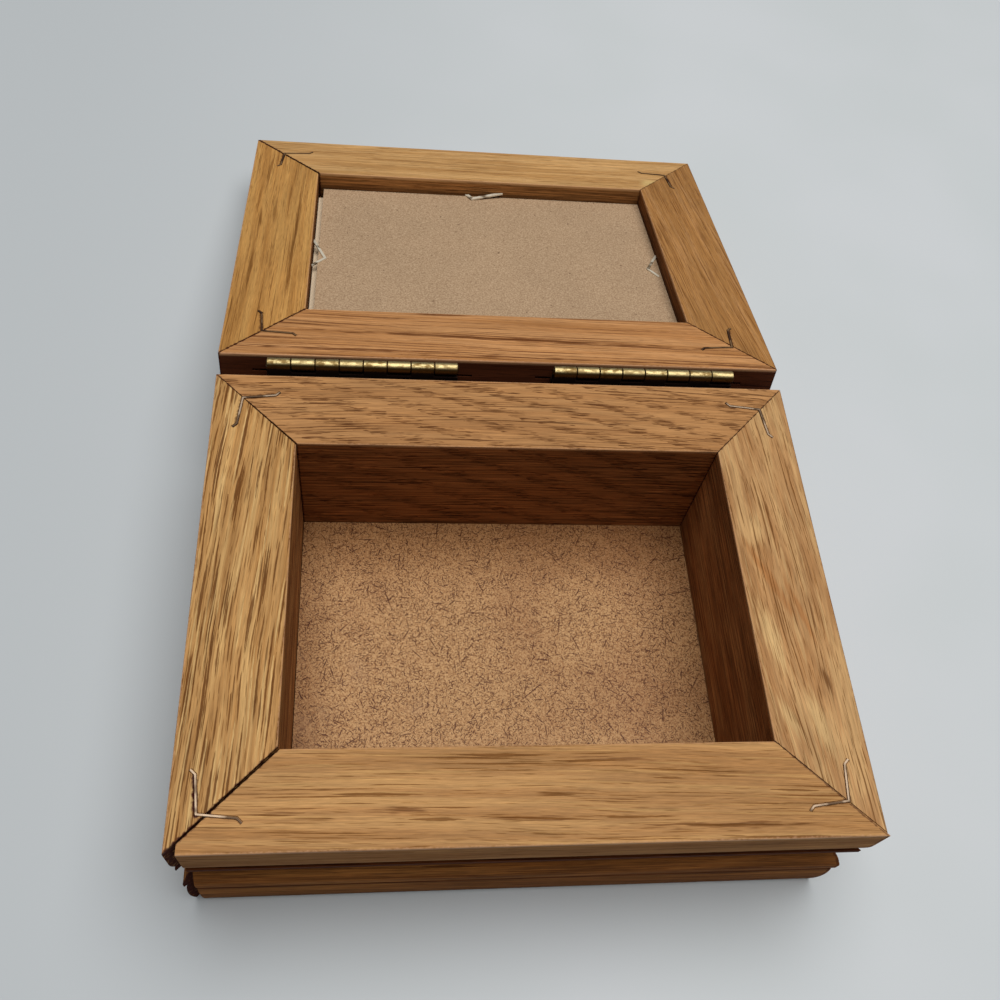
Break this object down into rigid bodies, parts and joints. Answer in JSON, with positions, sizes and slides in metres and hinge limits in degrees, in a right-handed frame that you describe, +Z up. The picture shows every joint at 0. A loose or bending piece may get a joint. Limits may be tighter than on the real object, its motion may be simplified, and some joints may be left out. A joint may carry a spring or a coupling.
{
  "type": "trinket box",
  "caption": "Oak trinket box with a deep mitred base, a thin floor and a lid that is a picture frame, hinged at the rear and laid open past half a turn.",
  "frame": {"origin": "on the table under the middle of the open box, halfway across its width and length", "axes": "+Z up, +Y from the base's front edge to its hinges and on to the open lid, +X to the right seen from the front"},
  "size_m": [0.1786, 0.2861, 0.0571],
  "materials": {
    "oak": "satin",
    "hardboard": "matte",
    "chipboard": "matte",
    "card": "matte",
    "glass": "gloss",
    "hinge_brass": "satin",
    "steel_wire": "satin"
  },
  "bodies": {
    "base": {"floor_panel": "hardboard", "base_front_rail": "oak", "base_rear_rail": "oak", "base_left_rail": "oak", "base_right_rail": "oak", "base_v_nail_front_left": "steel_wire", "base_v_nail_front_right": "steel_wire", "base_v_nail_rear_left": "steel_wire", "base_v_nail_rear_right": "steel_wire", "base_leaf_left": "hinge_brass", "base_leaf_right": "hinge_brass", "hinge_pin_left": "hinge_brass", "hinge_pin_right": "hinge_brass"},
    "lid": {"lid_front_rail": "oak", "lid_rear_rail": "oak", "lid_left_rail": "oak", "lid_right_rail": "oak", "glass_pane": "glass", "picture_card": "card", "backing_board": "chipboard", "backing_staple_front": "steel_wire", "backing_staple_rear": "steel_wire", "backing_staple_left": "steel_wire", "backing_staple_right": "steel_wire", "lid_v_nail_front_left": "steel_wire", "lid_v_nail_front_right": "steel_wire", "lid_v_nail_rear_left": "steel_wire", "lid_v_nail_rear_right": "steel_wire", "lid_leaf_left": "hinge_brass", "lid_leaf_right": "hinge_brass"}
  },
  "joints": [
    {"name": "lid_hinge", "type": "hinge", "parent": "base", "child": "lid", "pos_m": [0, 0.00196, 0.0553], "axis": [1, 0, 0], "range_deg": [0, 193.58]}
  ]
}
